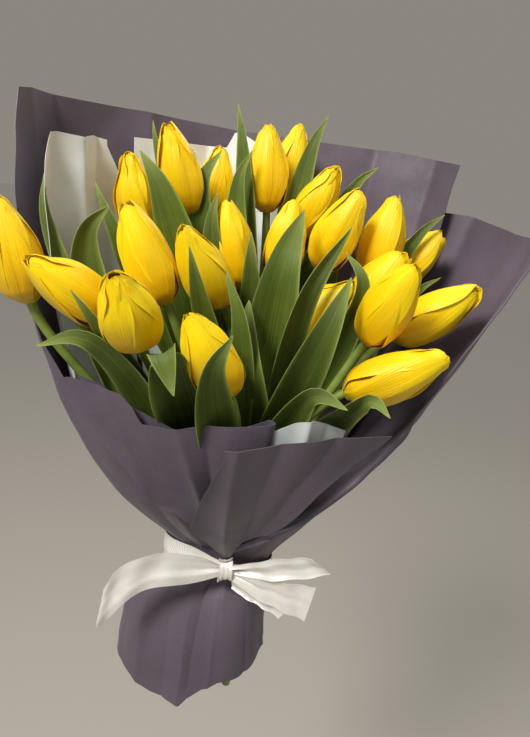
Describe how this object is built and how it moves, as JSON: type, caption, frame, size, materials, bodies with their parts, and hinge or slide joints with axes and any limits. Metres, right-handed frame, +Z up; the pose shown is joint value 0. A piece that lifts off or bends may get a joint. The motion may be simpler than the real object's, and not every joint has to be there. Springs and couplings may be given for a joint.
{
  "type": "tulip bouquet",
  "caption": "Hand-tied bouquet of yellow tulips with their leaves, in overlapping sheets of matte mauve-grey paper with a pale liner, closed at the neck by a white satin ribbon.",
  "frame": {"origin": "centre of the tie that holds the stems together, where a hand grips the bouquet", "axes": "+Z up the stems to the flowers, +X to the viewer's right, -Y towards the viewer"},
  "size_m": [0.3308, 0.2297, 0.4345],
  "materials": {
    "petals": "satin",
    "leaves": "matte",
    "twine": "matte",
    "wrapping_paper": "matte",
    "liner_film": "satin",
    "satin_ribbon": "satin"
  },
  "bodies": {
    "root": {"bloom_01": "petals", "bloom_02": "petals", "bloom_03": "petals", "bloom_04": "petals", "bloom_05": "petals", "bloom_06": "petals", "bloom_07": "petals", "bloom_08": "petals", "bloom_09": "petals", "bloom_10": "petals", "bloom_11": "petals", "bloom_12": "petals", "bloom_13": "petals", "bloom_14": "petals", "bloom_15": "petals", "bloom_16": "petals", "bloom_17": "petals", "bloom_18": "petals", "bloom_19": "petals", "bloom_20": "petals", "bloom_21": "petals", "bloom_22": "petals", "stem_01": "leaves", "stem_02": "leaves", "stem_03": "leaves", "stem_04": "leaves", "stem_05": "leaves", "stem_06": "leaves", "stem_07": "leaves", "stem_08": "leaves", "stem_09": "leaves", "stem_10": "leaves", "stem_11": "leaves", "stem_12": "leaves", "stem_13": "leaves", "stem_14": "leaves", "stem_15": "leaves", "stem_16": "leaves", "stem_17": "leaves", "stem_18": "leaves", "stem_19": "leaves", "stem_20": "leaves", "stem_21": "leaves", "stem_22": "leaves", "stem_tie": "twine", "wrap_back_left": "wrapping_paper", "wrap_back_right": "wrapping_paper", "wrap_front_left": "wrapping_paper", "wrap_front_right": "wrapping_paper", "liner_left": "liner_film", "liner_back": "liner_film", "liner_front": "liner_film", "ribbon_band": "satin_ribbon", "ribbon_knot": "satin_ribbon", "ribbon_tail_left": "satin_ribbon", "ribbon_tail_right": "satin_ribbon", "ribbon_loop_right": "satin_ribbon", "ribbon_tail_under": "satin_ribbon"}
  },
  "joints": []
}
